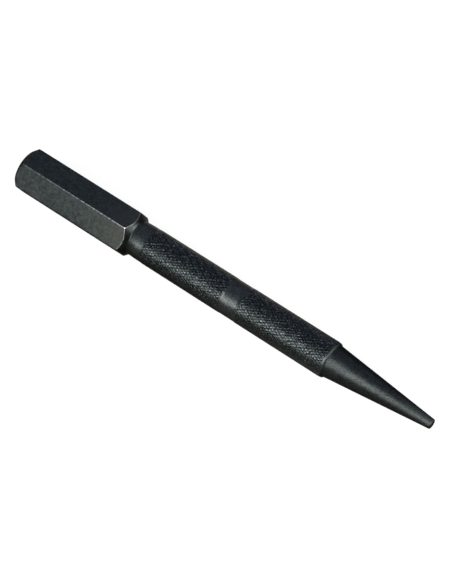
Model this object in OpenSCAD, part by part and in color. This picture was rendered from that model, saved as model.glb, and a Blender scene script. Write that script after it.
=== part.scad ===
// Nail setter: one bar of hexagonal steel, turned round below the head, knurled and drawn to a cupped point.
// The bar lies along X on one of its flats, striking face at -X, point at +X.

/* [Striking head] */
// Width of the hexagonal bar across its flats
hex_af = 9.5; // [8:0.1:14]
// Length from the striking face to the foot of the shoulder
head_l = 30.1; // [20:0.1:45]
// Depth of the 45 degree chamfer round the striking face, at the corners
face_chamfer = 1.2; // [0.8:0.05:2]
// Angle between the shoulder's cone and a square cut
shoulder_angle = 45; // [15:1:50]
// Fillet between the shoulder and the neck
shoulder_fillet = 1.2; // [0.3:0.05:1.6]

/* [Shank] */
// Depth turned off the flats to leave the round shank
turn_depth = 0.7; // [0.4:0.05:1.2]
// Length of the neck, from the foot of the shoulder to the knurl
neck_l = 3.5; // [2:0.1:10]
// Length of the waist between the two grips
waist_l = 3.4; // [1:0.1:10]

/* [Knurled grips] */
// Length of the grip next to the head
upper_grip_l = 21; // [8:0.1:40]
// Length of the grip next to the nose
lower_grip_l = 22.1; // [8:0.1:40]
// Number of grooves of each hand round the bar
knurl_starts = 36; // [24:1:40]
// Angle of the grooves to the bar
knurl_angle = 30; // [20:1:45]
// Depth of the grooves' crossings below the points of the teeth
groove_depth = 0.18; // [0.08:0.01:0.25]
// Height of the teeth's points above the shank
knurl_rise = 0.07; // [0.02:0.01:0.12]

/* [Nose] */
// Depth of the step from the shank down to the nose
nose_step = 0.35; // [0.1:0.05:0.45]
// Radius of the rounded edge at that step
step_round = 0.45; // [0.45:0.05:1.2]
// Length of the nose, from the step to the tip
nose_l = 24.5; // [15:0.1:40]

/* [Cup point] */
// Diameter of the tip before its edge is rounded
tip_d = 2.2; // [1.4:0.1:4]
// Length of the hardened point
point_l = 3.2; // [1.5:0.1:6]
// Rounding of the tip's edge
tip_round = 0.3; // [0.1:0.02:0.4]
// Width of the flat rim round the cup
rim_w = 0.22; // [0.1:0.02:0.35]
// Depth of the cup that seats the nail's head
cup_depth = 0.26; // [0.1:0.02:0.4]

/* [Hidden] */

turned_fn = 96;
arc_steps = 12;

// Radii of the bar
axis_h = hex_af / 2;
corner_r = axis_h / cos(30);
face_r = corner_r - face_chamfer;
shank_r = axis_h - turn_depth;
nose_r = shank_r - nose_step;
tip_r = tip_d / 2;

// The fillet turns from the shoulder's cone into the neck, and is no higher than the flats
fillet_turn = 90 - shoulder_angle;
fillet_max = turn_depth / (tan(fillet_turn / 2) * cos(shoulder_angle));
fillet_r = min(shoulder_fillet, fillet_max);
fillet_run = fillet_r * tan(fillet_turn / 2);

// Stations along the bar, from the striking face
shoulder_x = head_l - fillet_run * sin(shoulder_angle);
shoulder_r = shank_r + fillet_run * cos(shoulder_angle);
upper_x = head_l + neck_l;
waist_x = upper_x + upper_grip_l;
lower_x = waist_x + waist_l;
step_x = lower_x + lower_grip_l;
nose_x = step_x + sqrt(pow(step_round, 2) - pow(step_round - nose_step, 2));
tip_x = nose_x + nose_l;
point_x = tip_x - point_l;
tool_l = tip_x;

// The nose's cone and the arc at the tip that is tangent to it
nose_angle = atan((nose_r - tip_r) / nose_l);
point_r = tip_r + point_l * tan(nose_angle);
tip_arc_r = tip_r + tip_round * tan(nose_angle) - tip_round / cos(nose_angle);
cup_r = tip_arc_r - rim_w;
cup_ball_r = (pow(cup_r, 2) + pow(cup_depth, 2)) / (2 * cup_depth);

// The knurl's lattice: grooves cross once in every half pitch along the bar
knurl_r = shank_r + knurl_rise;
groove_r = knurl_r - groove_depth;
knurl_step = 360 / knurl_starts;
round_pitch = 2 * PI * knurl_r / knurl_starts;
half_pitch = round_pitch / tan(knurl_angle) / 2;

// Points of an arc in the plane of a turned profile, as [radius, station]
function arc(centre, r, from, to) =
    [for (k = [0 : arc_steps])
        let (a = from + (to - from) * k / arc_steps)
        centre + r * [cos(a), sin(a)]];

// Sets a form drawn along +Z on the bar's axis, at a station from the striking face
module on_bar(station = 0) {
    translate([station - tool_l / 2, 0, axis_h])
        rotate([0, 90, 0])
            children();
}

// Turns a profile of [radius, station] points about the bar's axis
module turned(profile) {
    on_bar()
        rotate_extrude($fn = turned_fn)
            polygon(profile);
}

// Points of a knurl: for each row and start, a crossing of two grooves and the point of the tooth beside it
function polar(r, a, z) = [r * cos(a), r * sin(a), z];

function knurl_points(rows, row_h) =
    [for (j = [0 : rows], i = [0 : knurl_starts - 1])
        let (
            end_row = j == 0 || j == rows,
            crossing_a = (i + (j % 2) / 2) * knurl_step,
            tooth_a = (i + ((j + 1) % 2) / 2) * knurl_step,
            z = j * row_h
        )
        each [
            polar(end_row ? shank_r : groove_r, crossing_a, z),
            polar(end_row ? shank_r : knurl_r, tooth_a, z)
        ]];

// Index of a crossing, and of a tooth's point
function crossing_id(j, i) = 2 * (j * knurl_starts + (i + knurl_starts) % knurl_starts);
function point_id(j, i) = crossing_id(j, i) + 1;

// The two faces of a tooth towards the row before it, and the two towards the row after it
function tooth_back(j, i) =
    let (
        before = crossing_id(j - 1, i),
        left = crossing_id(j, i - j % 2),
        right = crossing_id(j, i + 1 - j % 2)
    )
    [[before, left, point_id(j, i)], [right, before, point_id(j, i)]];

function tooth_front(j, i) =
    let (
        after = crossing_id(j + 1, i),
        left = crossing_id(j, i - j % 2),
        right = crossing_id(j, i + 1 - j % 2)
    )
    [[left, after, point_id(j, i)], [after, right, point_id(j, i)]];

// Flat end of the knurl, in order round the bar
function knurl_end(j) =
    [for (i = [0 : knurl_starts - 1])
        each [crossing_id(j, i), point_id(j, i + j % 2)]];

function reversed(list) = [for (k = [len(list) - 1 : -1 : 0]) list[k]];

// A length of bar with a diamond knurl that fades into the plain bar at both ends
module knurled(station, length) {
    rows = max(2, round(length / half_pitch));
    teeth = [for (j = [0 : rows], i = [0 : knurl_starts - 1])
        each concat(
            j > 0 ? tooth_back(j, i) : [],
            j < rows ? tooth_front(j, i) : [])];
    on_bar(station)
        polyhedron(
            knurl_points(rows, length / rows),
            concat(teeth, [knurl_end(0), reversed(knurl_end(rows))]));
}

// Hexagonal head, coned at the shoulder and chamfered round the striking face
module striking_head() {
    stock_r = 1.1 * corner_r;
    color("#3b403d")
        intersection() {
            on_bar()
                rotate([0, 0, 30])
                    cylinder(r = corner_r, h = shoulder_x, $fn = 6);
            turned([
                [0, 0],
                [face_r, 0],
                [stock_r, stock_r - face_r],
                [stock_r, head_l - (stock_r - shank_r) * tan(shoulder_angle)],
                [shoulder_r, shoulder_x],
                [0, shoulder_x]
            ]);
        }
}

// Plain round neck that flares into the shoulder by its fillet
module neck() {
    fillet_centre = [shank_r + fillet_r, head_l + fillet_run];
    color("#23272a")
        turned(concat(
            [[0, shoulder_x]],
            arc(fillet_centre, fillet_r, 180 + fillet_turn, 180),
            [[shank_r, upper_x], [0, upper_x]]));
}

// Knurled grip next to the head
module upper_grip() {
    color("#1d2022") knurled(upper_x, upper_grip_l);
}

// Plain round band that parts the two grips
module waist() {
    color("#23272a")
        turned([[0, waist_x], [shank_r, waist_x], [shank_r, lower_x], [0, lower_x]]);
}

// Knurled grip next to the nose
module lower_grip() {
    color("#1d2022") knurled(lower_x, lower_grip_l);
}

// Tapered nose, with the rounded step that ends the grip
module nose() {
    round_centre = [shank_r - step_round, step_x];
    round_end = acos((step_round - nose_step) / step_round);
    color("#202427")
        turned(concat(
            [[0, step_x]],
            arc(round_centre, step_round, 0, round_end),
            [[point_r, point_x], [0, point_x]]));
}

// Hardened end of the nose, with its rounded edge and the cup that holds a nail's head
module cup_point() {
    color("#2b2f31")
        difference() {
            turned(concat(
                [[0, point_x], [point_r, point_x]],
                arc([tip_arc_r, tip_x - tip_round], tip_round, nose_angle, 90),
                [[0, tip_x]]));
            on_bar(tip_x + cup_ball_r - cup_depth)
                sphere(r = cup_ball_r, $fn = turned_fn);
        }
}

striking_head();
neck();
upper_grip();
waist();
lower_grip();
nose();
cup_point();
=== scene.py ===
from math import acos, atan2, cos, pi, radians, sin, tan

import bpy
from mathutils import Matrix, Vector, noise


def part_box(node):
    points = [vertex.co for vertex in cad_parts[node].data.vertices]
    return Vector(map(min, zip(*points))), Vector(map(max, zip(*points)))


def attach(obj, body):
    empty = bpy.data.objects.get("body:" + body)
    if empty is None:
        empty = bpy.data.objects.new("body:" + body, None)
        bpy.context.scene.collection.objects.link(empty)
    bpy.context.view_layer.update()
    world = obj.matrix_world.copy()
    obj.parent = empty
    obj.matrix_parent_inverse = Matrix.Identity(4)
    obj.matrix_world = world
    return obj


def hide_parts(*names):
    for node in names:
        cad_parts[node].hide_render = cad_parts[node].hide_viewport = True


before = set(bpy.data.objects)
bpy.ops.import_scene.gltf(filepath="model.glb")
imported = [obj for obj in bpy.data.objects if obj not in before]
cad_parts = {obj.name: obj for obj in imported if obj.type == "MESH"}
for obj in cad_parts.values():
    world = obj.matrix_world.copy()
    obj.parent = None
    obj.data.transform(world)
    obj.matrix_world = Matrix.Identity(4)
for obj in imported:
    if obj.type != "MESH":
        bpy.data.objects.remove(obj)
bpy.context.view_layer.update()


# Striking head: the end of the drawn hexagonal bar that takes the hammer. It is chamfered at 45 degrees round the
# struck face and coned at the shoulder in a lathe. Blackened tool steel, rubbed grey along its edges by handling, with
# a painted glint of bright steel chiefly where the upper front edge meets the shoulder, and painted shade at the foot
# of the shoulder's cone.

MM = 0.001
head_low, head_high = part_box("striking_head")
_, neck_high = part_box("neck")
waist_low, waist_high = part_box("waist")
axis_z = (head_low.z + head_high.z) / 2
flat_r = (head_high.z - head_low.z) / 2
shank_r = waist_high.z - axis_z
shoulder_r = neck_high.z - axis_z
face_x = head_low.x
shoulder_x = head_high.x
face_chamfer = 1.2 * MM
face_r = flat_r / cos(radians(30)) - face_chamfer
shoulder_run = tan(radians(45))
corner_round = 0.2 * MM
corner_steps = 6
across_flat = (-0.97, -0.7, -0.35, 0, 0.35, 0.7, 0.97)
face_rim, chamfer_rim, shoulder_rim = 0.16 * MM, 0.12 * MM, 0.22 * MM
rim_hold = 0.05 * MM

# Wear of the corners, counted upwards from the one at +Y, and painted shade at the foot of the shoulder's cone,
# lighter on the side where the light falls on it. Below 0 the colour is darkened as painted shade, at 1 the oxide is
# thin, and towards 2 a painted glint of bright steel shows.
corner_wear = (0.5, 0.5, 1.0, 0.0, 0.4, 0.4)
foot_shade, foot_lit_shade = -0.7, -0.35
foot_lit_from, foot_lit_to = radians(90), radians(124)
glint_l = 0.4 * MM


def rounded(path, radii, hold, steps=5):
    """Turns each inner corner of a path of (x, r) points on its radius; gives points with their edge wear."""
    points = [(path[0], 0.0)]
    for before, corner, after, radius in zip(path, path[1:], path[2:], radii):
        back, ahead = (before - corner).normalized(), (after - corner).normalized()
        half = back.angle(ahead) / 2
        reach = radius / tan(half)
        centre = corner + (back + ahead).normalized() * radius / sin(half)
        start, end = corner + back * reach - centre, corner + ahead * reach - centre
        points.append((corner + back * (reach + hold), 0.0))
        points += [(centre + start.slerp(end, k / steps) * radius, 1.0) for k in range(steps + 1)]
        points.append((corner + ahead * (reach + hold), 0.0))
    return points + [(path[-1], 0.0)]


def hexagon():
    """Points round the bar's section with the wear of each; the die leaves the corners slightly round."""
    reach = (flat_r - corner_round) / cos(radians(30))
    half_flat = reach * sin(radians(30))
    outline = []
    for corner in range(6):
        middle = radians(60 * corner)
        centre = Vector((cos(middle), sin(middle))) * reach
        for k in range(corner_steps + 1):
            a = middle + radians(60) * (k / corner_steps - 0.5)
            outline.append((centre + Vector((cos(a), sin(a))) * corner_round, corner_wear[corner]))
        side = middle + radians(30)
        out, along = Vector((cos(side), sin(side))), Vector((-sin(side), cos(side)))
        for share in across_flat:
            outline.append((out * flat_r + along * half_flat * share, 0.0))
    return outline


def skinned(name, columns, wear_and_painted_light):
    """Closed mesh over columns of points that stand round the bar, with a flat cap at each end of the columns."""
    count, length = len(columns), len(columns[0])
    here = lambda i, j: (i % count) * length + j
    faces = [(here(i, j), here(i + 1, j), here(i + 1, j + 1), here(i, j + 1))
             for i in range(count) for j in range(length - 1)]
    faces.append([here(i, 0) for i in reversed(range(count))])
    faces.append([here(i, length - 1) for i in range(count)])
    mesh = bpy.data.meshes.new(name)
    mesh.from_pydata([point for column in columns for point in column], [], faces)
    mesh.shade_smooth()
    for edge in mesh.edges:
        a, b = (v % length for v in edge.vertices)
        edge.use_edge_sharp = a == b and a in (0, length - 1)
    # Each point's wear, which also carries painted shade below 0 and painted glints above 1
    wear = mesh.attributes.new("wear_and_painted_light", "FLOAT", "POINT")
    wear.data.foreach_set("value", [rub for column in wear_and_painted_light for rub in column])
    return mesh


def on_bar(x, r, turn):
    """Place at a station along the bar, a radius from its axis and a direction (y, z) round it."""
    return Vector((x, turn.x * r, axis_z + turn.y * r))


head_columns, head_wear_and_light = [], []
for spot, corner_rub in hexagon():
    r = spot.length
    side_from, side_to = face_x + r - face_r, shoulder_x - (r - shoulder_r) * shoulder_run
    path = [Vector((face_x, face_r * 0.3)), Vector((face_x, face_r)), Vector((side_from, r)), Vector((side_to, r)),
            Vector((shoulder_x, shoulder_r))]
    profile = rounded(path, (face_rim, chamfer_rim, shoulder_rim), rim_hold)
    head_columns.append([on_bar(p.x, p.y, spot / r) for p, rub in profile])
    column_wear_and_light = []
    for p, rub in profile[:-2]:
        if p.x > (face_x + shoulder_x) / 2:
            # Near the shoulder the worn corners turn into a painted glint of bright steel
            column_wear_and_light.append(max(rub, corner_rub) + (rub * corner_rub if p.x > side_to - glint_l else 0))
        else:
            column_wear_and_light.append(max(0.3 * rub, 0.5 * corner_rub * (p.x > side_from)))
    # Painted shade at the foot of the cone, lighter where the light falls on it
    foot = foot_lit_shade if foot_lit_from < atan2(spot.y, spot.x) < foot_lit_to else foot_shade
    head_wear_and_light.append(column_wear_and_light + [foot, foot])


class Wire:
    """Output of a node in a material. Sums and products with it add Math nodes."""

    def __init__(self, tree, socket=None):
        self.tree, self.socket = tree, socket

    def node(self, kind, settings=None, sockets=None, out=0):
        """Adds a node: its type, its settings, and the values or wires of its sockets."""
        made = self.tree.nodes.new("ShaderNode" + kind)
        for name, value in (settings or {}).items():
            setattr(made, name, value)
        for key, value in (sockets or {}).items():
            if isinstance(value, Wire):
                self.tree.links.new(value.socket, made.inputs[key])
            else:
                made.inputs[key].default_value = value
        return Wire(self.tree, made.outputs[out] if made.outputs else None)

    def math(self, operation, first, second):
        return self.node("Math", {"operation": operation}, {0: first, 1: second})

    def __add__(self, other):
        return self.math("ADD", self, other)

    def __sub__(self, other):
        return self.math("SUBTRACT", self, other)

    def __rsub__(self, other):
        return self.math("SUBTRACT", other, self)

    def __mul__(self, other):
        return self.math("MULTIPLY", self, other)

    __radd__, __rmul__ = __add__, __mul__

    def between(self, low, high):
        """0 below the low value, 1 above the high one, and smooth in between."""
        return self.node("MapRange", {"interpolation_type": "SMOOTHSTEP"},
                         {"Value": self, "From Min": low, "From Max": high})

    def mix(self, first, second):
        """Blends two colours, the second where this is 1."""
        return self.node("Mix", {"data_type": "RGBA"}, {0: self, 6: first, 7: second}, 2)


# Painted shade: the black that the shaded corners are painted with
PAINTED_SHADE_BLACK = (0.01, 0.011, 0.011, 1)
HANDLED_GREY = (0.0268, 0.0288, 0.0256, 1)
# Painted glint: the colour of bright steel where the worn corners meet the shoulder
PAINTED_GLINT_STEEL = (0.5, 0.5, 0.48, 1)
handled_from, handled_to = shoulder_x - 14 * MM, shoulder_x + 4 * MM


def finish_of(name):
    """New material with an empty node tree, and a wire to build it from."""
    made = bpy.data.materials.new(name)
    made.use_nodes = True
    made.node_tree.nodes.clear()
    return made, Wire(made.node_tree)


def blackened(name, black, grey, bare, gloss):
    """Black oxide on drawn bar: mottled between two dark colours, thin where handling has worn it, and greyer
    towards the shoulder. Below 0 the wear value darkens it as painted shade, and towards 2 it gives a painted glint of
    bright steel. A texture's scale counts its spots in a metre."""
    made, wire = finish_of(name)
    place = wire.node("TexCoord", out="Object")
    mottle = wire.node("TexNoise", {}, {"Vector": place, "Scale": 900, "Detail": 6, "Roughness": 0.8})
    grain = wire.node("TexNoise", {}, {"Vector": place, "Scale": 2400, "Detail": 2, "Roughness": 0.7})
    chips = wire.node("TexNoise", {}, {"Vector": place, "Scale": 2200, "Detail": 2, "Roughness": 0.7})
    wear_and_painted_light = wire.node("Attribute", {"attribute_name": "wear_and_painted_light"}, out="Fac")
    worn = (wear_and_painted_light * (chips * 3 - 0.7)).between(0.2, 1.1)
    # Painted shade: where the wear value is below 0 the colour goes to black
    painted_shade = (0 - wear_and_painted_light).between(0, 0.8)
    bare_and_glint = wear_and_painted_light.between(1.4, 1.9).mix(bare, PAINTED_GLINT_STEEL)
    along = wire.node("SeparateXYZ", {}, {0: place}, "X")
    handled = along.between(handled_from, handled_to) * (grain * 1.6)
    oxide = handled.mix((mottle * 0.6 + grain * 0.4).between(0.38, 0.62).mix(black, grey), HANDLED_GREY)
    roughness = gloss + (grain - 0.5) * 0.16 + (mottle - 0.5) * 0.1
    bump = wire.node("Bump", {}, {"Strength": 0.35, "Distance": 0.000004, "Height": grain})
    shader = wire.node("BsdfPrincipled", {}, {
        "Base Color": painted_shade.mix(worn.mix(oxide, bare_and_glint), PAINTED_SHADE_BLACK), "Metallic": 1.0, "Roughness": roughness,
        "Normal": bump})
    wire.node("OutputMaterial", {}, {"Surface": shader})
    return made


def shown(name, mesh, finish):
    """Object for a mesh, already in its place on the bar."""
    made = bpy.data.objects.new(name, mesh)
    mesh.materials.append(finish)
    bpy.context.collection.objects.link(made)
    return made


head_steel = blackened("head_steel", black=(0.0095, 0.0114, 0.0112, 1), grey=(0.023, 0.027, 0.0262, 1),
                       bare=(0.11, 0.116, 0.108, 1), gloss=0.4)
head = shown("hex_head", skinned("hex_head", head_columns, head_wear_and_light), head_steel)
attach(head, "root")
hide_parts("striking_head")


# Neck: the plain round stretch below the shoulder, turned down from the hexagon, with a fillet and a shallow relief at
# its root so that the hammer's blows don't start a crack there. Smooth black oxide with faint marks of the turning,
# darkened by painted shade in the corner at its root, less so on the upper side where the light falls.

shank_columns = 160
fillet_r, relief_r = 0.4 * MM, 4 * MM
relief, relief_l = 0.09 * MM, 2 * MM
foot_r = shank_r - relief
fillet_x = shoulder_x + (shoulder_r - foot_r) * shoulder_run
relief_x = fillet_x + relief_l
fillet_steps, neck_rings = 10, 5
fine_hold = 0.01 * MM
# Painted shade in the corner at the root: how far it reaches, and how much less of it lies on the lit upper side
painted_shade_l = 1.1 * MM
root_lit_share, root_lit_side = 0.7, radians(104)


def turned(name, profile, side_share=lambda a: 1):
    """Closed mesh from a profile of (x, r) points with their wear and painted light, turned about the bar's axis;
    the last argument gives the share of that value in each direction round it."""
    turns = [2 * pi * k / shank_columns for k in range(shank_columns)]
    columns = [[on_bar(p.x, p.y, Vector((cos(a), sin(a)))) for p, rub in profile] for a in turns]
    return skinned(name, columns, [[rub * side_share(a) for p, rub in profile] for a in turns])


def lathe_turned(name, black, grey, bare, gloss, edge=1.0):
    """Black oxide on a turned surface: fine grain and faint rings, dull where it is scuffed, and black as painted
    shade where the wear value is below 0; edge is how bright the steel is where it is seen at a slant."""
    made, wire = finish_of(name)
    place = wire.node("TexCoord", out="Object")
    along = wire.node("SeparateXYZ", {}, {0: place}, "X")
    rings = wire.node("TexNoise", {"noise_dimensions": "1D"}, {"W": along, "Scale": 9000, "Detail": 3})
    cloud = wire.node("TexNoise", {}, {"Vector": place, "Scale": 700, "Detail": 3, "Roughness": 0.6})
    grain = wire.node("TexNoise", {}, {"Vector": place, "Scale": 4400, "Detail": 2, "Roughness": 0.6})
    wear_and_painted_light = wire.node("Attribute", {"attribute_name": "wear_and_painted_light"}, out="Fac")
    worn = (wear_and_painted_light * (grain + 0.25)).between(0.1, 0.9)
    # Painted shade: where the wear value is below 0 the colour goes to black
    painted_shade = (0 - wear_and_painted_light).between(0, 0.8)
    oxide = (cloud * 0.2 + grain * 0.7 + rings * 0.1).between(0.41, 0.59).mix(black, grey)
    dulled = wire.math("MAXIMUM", wear_and_painted_light, 0)
    roughness = gloss + (grain - 0.5) * 0.18 + (rings - 0.5) * 0.08 + dulled * 0.25
    bump = wire.node("Bump", {}, {"Strength": 0.3, "Distance": 0.000003, "Height": rings + grain})
    shader = wire.node("BsdfPrincipled", {}, {
        "Base Color": painted_shade.mix(worn.mix(oxide, bare), PAINTED_SHADE_BLACK), "Metallic": 1.0, "Roughness": roughness,
        "Specular Tint": (edge, edge, edge, 1), "Normal": bump})
    wire.node("OutputMaterial", {}, {"Surface": shader})
    return made


def painted_root_shade(a):
    """Share of the painted shade in one direction round the root: least on the upper side, where the light falls."""
    return 1 - root_lit_share * min(1.0, max(0.0, 6 * cos(a - root_lit_side) - 4.9))


neck_path = [Vector((shoulder_x, shoulder_r)), Vector((fillet_x, foot_r)), Vector((relief_x, shank_r)),
             Vector((neck_high.x, shank_r))]
neck_points = [p for p, rub in rounded(neck_path, (fillet_r, relief_r), fine_hold, fillet_steps)]
neck_points[-1:-1] = [neck_points[-2].lerp(neck_points[-1], k / neck_rings) for k in range(1, neck_rings)]
# Painted shade: the colour darkens from the shoulder along the fillet and fades out on the neck
neck_profile = [(p, -min(0.8, max(0.0, 1.3 - (p.x - shoulder_x) / painted_shade_l))) for p in neck_points]
shank_steel = lathe_turned("shank_steel", black=(0.0125, 0.0143, 0.0139, 1), grey=(0.0311, 0.0353, 0.0338, 1),
                           bare=(0.24, 0.26, 0.26, 1), gloss=0.34)
neck = shown("neck_round", turned("neck_round", neck_profile, painted_root_shade), shank_steel)
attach(neck, "root")
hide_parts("neck")


# Upper grip: a diamond knurl rolled into the round bar by two crossing wheels, so the fingers hold it. The teeth are
# rounded and uneven, as a rolled knurl's are. Black oxide, dull in the grooves and glinting on the teeth, with
# painted glints on the teeth of the upper side.

knurl_starts = 36
knurl_angle = radians(30)
tooth_rise = 0.07 * MM
groove_depth = 0.05 * MM
across_tooth = (0, 0.08, 0.2, 0.5, 0.8, 0.92)
across_depth = (1, 0.55, 0.15, 0, 0.15, 0.55)
bite_l = 0.25 * MM
swell_l = 0.6 * MM
groove_uneven, tooth_uneven, fine_uneven = 0.6, 0.08, 0.1
# Upper side where the fingers rub the teeth most, and where the rubbed teeth also carry painted glints
held_and_glint_side = radians(50)


def knurled(name, low, high, odd_depth, ragged_low, ragged_high):
    """Closed mesh of a knurled length: a lattice that runs along both sets of grooves. odd_depth is the depth of every
    other groove, and ragged_low and ragged_high are how unevenly the grooves begin and end."""
    length = high.x - low.x
    top_r = shank_r + tooth_rise
    half_pitch = pi * top_r / knurl_starts / tan(knurl_angle)
    rows = max(2, round(length / half_pitch))
    cuts = len(across_tooth)
    last, round_count = rows * cuts, knurl_starts * cuts
    points, wear_and_painted_light, plain = [], [], []

    def bite(line, seed, along):
        """How far a groove has come to its full depth: each begins and ends a little before or after the next."""
        late, early = (max(0.0, 0.5 + noise.noise(Vector((line % knurl_starts * 1.37, seed, k)))) for k in (0.4, 7.7))
        room = min(along - ragged_low * late, length - along - ragged_high * early)
        return min(1.0, max(0.0, room / bite_l))

    def groove(line, cut, seed, where):
        """Depth of a groove at one of the cuts across it; every other groove is shallower, and none is even."""
        uneven = 1 + groove_uneven * noise.noise(where * 1.7 + Vector((seed, 0, 0)))
        return across_depth[cut] * uneven * (odd_depth if line % 2 else 1)

    for s in range(last + 1):
        for k in range(round_count):
            d = 2 * k + s % 2
            line_a, cut_a = divmod((s + d) // 2, cuts)
            line_b, cut_b = divmod((s - d) // 2, cuts)
            at_a, at_b = line_a + across_tooth[cut_a], line_b + across_tooth[cut_b]
            along = (at_a + at_b) * length / rows
            turn = (at_a - at_b) * pi / knurl_starts - pi / 2
            where = Vector((along / MM, cos(turn) * 4, sin(turn) * 4 + low.x / MM))
            tooth = Vector((line_a % knurl_starts * 1.7, line_b * 2.3, low.x / MM))
            near_a, near_b = line_a + (cut_a > 2), line_b + (cut_b > 2)
            bite_a, bite_b = bite(near_a, 0.3, along), bite(near_b, 5.6, along)
            dip = max(groove(near_a, cut_a, 3, where) * bite_a, groove(near_b, cut_b, 8, where) * bite_b)
            lean_a = noise.noise(tooth + Vector((0.4, 7.1, 3.3))) * (across_tooth[cut_a] - 0.5)
            lean_b = noise.noise(tooth + Vector((5.7, 0.3, 9.2))) * (across_tooth[cut_b] - 0.5)
            bumps = lean_a + lean_b + tooth_uneven * noise.noise(tooth) + fine_uneven * noise.noise(where * 4.3)
            swell = min(1.0, along / swell_l, (length - along) / swell_l)
            r = shank_r + (tooth_rise - groove_depth * (bumps + 0.1)) * swell - groove_depth * dip
            points.append(on_bar(low.x + along, min(r, top_r), Vector((cos(turn), sin(turn)))))
            # Fingers rub the teeth of one side most, and some of them more than others; there the teeth also carry
            # painted glints
            thumbed_and_glint = max(0.0, 0.9 + 1.8 * noise.noise(tooth + Vector((2.2, 4.9, 1.6))))
            held_and_glint = 1 + thumbed_and_glint * max(0.0, 5 * cos(turn - held_and_glint_side) - 4)
            wear_and_painted_light.append(min(1.0, max(0.0, 1 - 1.6 * (dip + bumps * swell))) * held_and_glint)
            plain.append(1 - max(bite_a, bite_b))

    here = lambda s, d: s * round_count + (d % (2 * round_count)) // 2
    faces = []
    for s in range(last + 1):
        for d in range((s + 1) % 2, 2 * round_count, 2):
            diamond = [here(s, d - 1)]
            diamond += [here(s - 1, d)] if s > 0 else []
            diamond += [here(s, d + 1)]
            diamond += [here(s + 1, d)] if s < last else []
            faces.append(diamond)
    faces.append(list(reversed(range(round_count))))
    faces.append([last * round_count + k for k in range(round_count)])
    mesh = bpy.data.meshes.new(name)
    mesh.from_pydata(points, [], faces)
    mesh.shade_flat()
    for layer, values in ("wear_and_painted_light", wear_and_painted_light), ("plain", plain):
        mesh.attributes.new(layer, "FLOAT", "POINT").data.foreach_set("value", values)
    return mesh


def knurl_finish(name, black, grey, bare, painted_glint, smooth, gloss):
    """Black oxide on a knurl: darker and duller down in the grooves, brighter on the teeth that the fingers rub most,
    where the brightest are painted glints, and plain where the knurl has not begun."""
    made, wire = finish_of(name)
    place = wire.node("TexCoord", out="Object")
    grit = wire.node("TexNoise", {}, {"Vector": place, "Scale": 3600, "Detail": 1, "Roughness": 0.6})
    patch = wire.node("TexNoise", {}, {"Vector": place, "Scale": 500, "Detail": 2, "Roughness": 0.6})
    crest = wire.node("Attribute", {"attribute_name": "wear_and_painted_light"}, out="Fac")
    worn = (crest * grit).between(0.5, 0.72)
    # Worn teeth go to bare steel, and the most worn to a painted glint
    bare_and_glint = (crest * grit).between(0.65, 1.1).mix(bare, painted_glint)
    plain = wire.node("Attribute", {"attribute_name": "plain"}, out="Fac")
    oxide = (crest * 0.3 + (grit - 0.5) * 2.6 + patch * 0.2).between(-0.2, 0.8).mix(black, grey)
    roughness = gloss + (0.5 - grit) * 0.1 - crest * 0.05
    bump = wire.node("Bump", {}, {"Strength": 1.0, "Distance": 0.000015, "Height": grit * (1 - plain)})
    shader = wire.node("BsdfPrincipled", {}, {
        "Base Color": plain.mix(worn.mix(oxide, bare_and_glint), smooth), "Metallic": 1.0, "Roughness": roughness,
        "Normal": bump})
    wire.node("OutputMaterial", {}, {"Surface": shader})
    return made


knurl_steel = knurl_finish("knurled_steel", black=(0.003, 0.0035, 0.0035, 1), grey=(0.0227, 0.0265, 0.0265, 1),
                           bare=(0.05, 0.056, 0.055, 1), painted_glint=(0.1, 0.101, 0.095, 1),
                           smooth=(0.0225, 0.0248, 0.0243, 1), gloss=0.3)
upper_mesh = knurled("upper_knurl", *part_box("upper_grip"), odd_depth=0.5, ragged_low=0.2 * MM, ragged_high=1.2 * MM)
upper_grip = shown("upper_knurl", upper_mesh, knurl_steel)
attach(upper_grip, "root")
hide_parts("upper_grip")


# Waist: the plain band that parts the two knurls, left as turned where the knurling wheels were lifted.
# It has the neck's smooth black finish.

waist_rings = 6
waist_profile = [(Vector((waist_low.x + (waist_high.x - waist_low.x) * k / waist_rings, shank_r)), 0.0)
                 for k in range(waist_rings + 1)]
waist = shown("waist_band", turned("waist_band", waist_profile), shank_steel)
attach(waist, "root")
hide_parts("waist")


# Lower grip: the second length of the same knurl, rolled after the first and down to the step at the nose.
# Its grooves are a little more even than those of the upper grip.

lower_mesh = knurled("lower_knurl", *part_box("lower_grip"), odd_depth=0.6, ragged_low=1.5 * MM, ragged_high=0.5 * MM)
lower_grip = shown("lower_knurl", lower_mesh, knurl_steel)
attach(lower_grip, "root")
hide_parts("lower_grip")


# Nose: the rounded edge that ends the grip and the long taper below it, turned and then ground smooth.
# Black oxide again, blacker and closer than on the shank, and scuffed grey along its upper side towards the tip; that
# grey also stands as a painted highlight spread towards the upper side.

nose_low, nose_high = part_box("nose")
point_low, point_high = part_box("cup_point")
step_round = 0.45 * MM
nose_step = 0.35 * MM
nose_r = shank_r - nose_step
point_r = point_high.z - axis_z
round_end = acos((step_round - nose_step) / step_round)
nose_x = nose_low.x + step_round * sin(round_end)
root_round, root_hold = 0.06 * MM, 0.02 * MM
step_steps, taper_rings = 8, 12
step_wear = 0.9
# Scuffing towards the tip and on the upper side; its grey is also a painted highlight
scuff_and_highlight_most, scuff_and_highlight_l = 0.8, 14 * MM
scuff_and_highlight_side = radians(100)


def scuff_and_highlight_at(x):
    """Scuffing at a station along the bar, whose grey also stands as a painted highlight: it grows towards the tip."""
    return scuff_and_highlight_most * max(0.0, 1 - (point_high.x - x) / scuff_and_highlight_l)


def scuff_and_highlight_share(a):
    """Share of the scuffing in one direction round the bar: most on the upper side, dragged along the work,
    where its grey also stands as a painted highlight.
    """
    return max(0.0, cos(a - scuff_and_highlight_side))


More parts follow.
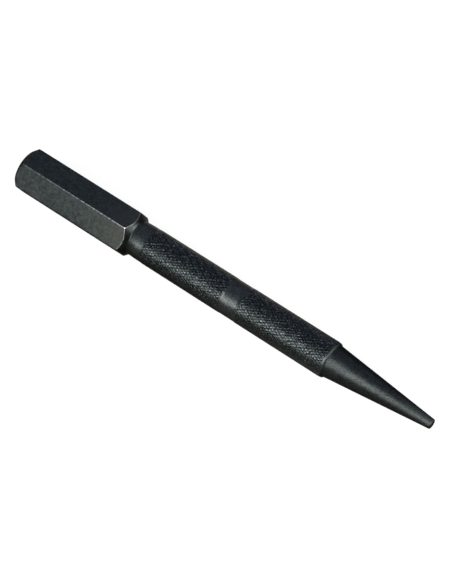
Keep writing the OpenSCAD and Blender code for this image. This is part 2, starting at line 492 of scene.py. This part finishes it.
step_arc = [Vector((nose_low.x + step_round * sin(a), shank_r - step_round + step_round * cos(a)))
            for a in (round_end * k / step_steps for k in range(step_steps))]
root_path = [step_arc[-1], Vector((nose_x, nose_r)), Vector((nose_high.x, point_r))]
root = rounded(root_path, [root_round], root_hold)
taper = [root[-2][0].lerp(root[-1][0], k / taper_rings) for k in range(1, taper_rings + 1)]
nose_points = step_arc + [p for p, rub in root[1:-1]] + taper
nose_profile = [(p, step_wear if p in step_arc else scuff_and_highlight_at(p.x)) for p in nose_points]
nose_steel = lathe_turned("nose_steel", black=(0.0075, 0.0087, 0.0085, 1), grey=(0.0207, 0.0233, 0.0224, 1),
                          bare=(0.042, 0.0465, 0.0434, 1), gloss=0.38, edge=0.6)
nose = shown("nose_taper", turned("nose_taper", nose_profile, scuff_and_highlight_share), nose_steel)
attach(nose, "root")
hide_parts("nose")


# Cup point: the hardened end of the taper. Its edge is rounded over, and a shallow cup in the end keeps it from
# sliding off the nail's head. Black oxide that use has scuffed dull and grey, most on the upper side, where the grey
# also stands as a painted highlight.

tip_x = point_high.x
tip_r = 1.1 * MM
tip_round = 0.3 * MM
rim_w = 0.22 * MM
cup_depth = 0.26 * MM
cup_r = tip_r - tip_round - rim_w
rim_round, cup_round = 0.04 * MM, 0.2 * MM
tip_steps = 8

point_path = [Vector((point_low.x, point_r)), Vector((tip_x, tip_r)), Vector((tip_x, cup_r)),
              Vector((tip_x - cup_depth * 0.8, cup_r * 0.45)), Vector((tip_x - cup_depth, cup_r * 0.1))]
point_points = rounded(point_path, (tip_round, rim_round, cup_round), fine_hold, tip_steps)
point_profile = [(p, rub if rub and p.y > cup_r else scuff_and_highlight_at(p.x)) for p, rub in point_points]
point_steel = lathe_turned("point_steel", black=(0.0085, 0.0097, 0.0094, 1), grey=(0.023, 0.0257, 0.0245, 1),
                           bare=(0.04, 0.0443, 0.0413, 1), gloss=0.38, edge=0.6)
point = shown("cup_tip", turned("cup_tip", point_profile, scuff_and_highlight_share), point_steel)
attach(point, "root")
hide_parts("cup_point")


# Studio: a white table that the tool lies on, a broad soft lamp in front of it and above, and a small one beyond the
# point end. The table's glow as the steel mirrors it is painted: a painted shadow dark close to the tool, painted
# light further off in front and grey behind. The camera looks down on the tool from the front, nearer to the point
# end.

table_half = 2.5
SEEN_WHITE = (1, 1, 1, 1)
# Painted shadow and painted light of the table as the steel mirrors it
CLOSE_SHADE, FRONT_WHITE, BACK_GREY = (0.08, 0.08, 0.08, 1), (0.85, 0.84, 0.76, 1), (0.5, 0.48, 0.46, 1)
shade_slope = 0.07
table_seen = 0.88
WALL_GREY, CEILING = (0.15, 0.15, 0.15, 1), (0.85, 0.94, 1.22, 1)


def rays(wire):
    """Wires that are 1 for rays straight from the camera, off a gloss and through something clear."""
    path = wire.node("LightPath").socket.node
    return [Wire(wire.tree, path.outputs["Is %s Ray" % kind]) for kind in ("Camera", "Glossy", "Transmission")]


table_mesh = bpy.data.meshes.new("table")
table_mesh.from_pydata([(x * table_half, y * table_half, 0) for x, y in ((-1, -1), (1, -1), (1, 1), (-1, 1))],
                       [], [(0, 1, 2, 3)])
table_white, wire = finish_of("table_white")
camera_ray, glossy_ray, clear_ray = rays(wire)
paper = wire.node("BsdfDiffuse", {}, {"Color": (0.9, 0.9, 0.9, 1)})
place = wire.node("NewGeometry", out="Position")
table_x = wire.node("SeparateXYZ", {}, {0: place}, "X")
table_y = wire.node("SeparateXYZ", {}, {0: place}, "Y")
# Painted shadow and light that the steel mirrors: dark close to the tool, light further off in front, grey behind
# towards the head end
before = (table_x * shade_slope - table_y).between(4 * MM, 10.5 * MM)
behind = table_y.between(8 * MM, 20 * MM) * (0 - table_x).between(-22 * MM, -4 * MM)
painted_shadow_and_light = behind.mix(before.mix(CLOSE_SHADE, FRONT_WHITE), BACK_GREY)
glow = wire.node("Emission", {}, {"Color": camera_ray.mix(painted_shadow_and_light, SEEN_WHITE), "Strength": 1.0})
seen = camera_ray * table_seen + glossy_ray + clear_ray
wire.node("OutputMaterial", {}, {"Surface": wire.node("MixShader", {}, {0: seen, 1: paper, 2: glow})})
table = shown("table", table_mesh, table_white)

room = bpy.data.worlds.new("room")
bpy.context.scene.world = room
room.use_nodes = True
room.node_tree.nodes.clear()
wire = Wire(room.node_tree)
camera_ray, glossy_ray, clear_ray = rays(wire)
strength = 0.2 + (camera_ray + glossy_ray + clear_ray) * 0.8
height = wire.node("SeparateXYZ", {}, {0: wire.node("TexCoord", out="Generated")}, "Z")
walls = height.between(0, 0.7).mix(WALL_GREY, CEILING)
paint = camera_ray.mix(walls, SEEN_WHITE)
wire.node("OutputWorld", {}, {"Surface": wire.node("Background", {}, {"Color": paint, "Strength": strength})})


def softbox(name, side, rise, tilt, far, size, power):
    """Soft lamp that faces the tool from an angle to one side and a height, turned by a tilt about its own middle."""
    way = Vector((sin(side), -cos(side) * cos(rise), cos(side) * sin(rise)))
    data = bpy.data.lights.new(name, "AREA")
    data.shape = "RECTANGLE"
    data.size, data.size_y = size
    data.energy = power
    lamp = bpy.data.objects.new(name, data)
    facing = way.to_track_quat("Z", "Y").to_matrix().to_4x4()
    lamp.matrix_world = (Matrix.Translation(Vector((0, 0, axis_z)) + way * far) @ facing
                         @ Matrix.Rotation(tilt, 4, "Z"))
    lamp.visible_camera = False
    bpy.context.collection.objects.link(lamp)


softbox("main_softbox", side=0, rise=radians(38.5), tilt=radians(46), far=0.7, size=(1.05, 0.36), power=16)
softbox("side_softbox", side=radians(64), rise=radians(117), tilt=0, far=0.7, size=(0.35, 0.35), power=5.4)

eye_turn, eye_rise, eye_roll = radians(31.80), radians(52.62), radians(6.11)
eye_aim = Vector((0.664, 0.456, 4.650)) * MM
eye_far = 0.43653
eye_back = Vector((sin(eye_turn) * cos(eye_rise), -cos(eye_turn) * cos(eye_rise), sin(eye_rise)))
level = Vector((0, 0, 1)).cross(eye_back).normalized()
camera_data = bpy.data.cameras.new("camera")
camera_data.sensor_width = 36
camera_data.lens = 129.45
camera = bpy.data.objects.new("camera", camera_data)
axes = Matrix((level, eye_back.cross(level), eye_back)).transposed()
camera.matrix_world = (Matrix.Translation(eye_aim + eye_back * eye_far) @ axes.to_4x4()
                       @ Matrix.Rotation(eye_roll, 4, "Z"))
bpy.context.collection.objects.link(camera)
bpy.context.scene.camera = camera
bpy.context.scene.view_settings.view_transform = "Standard"

bpy.context.view_layer.update()
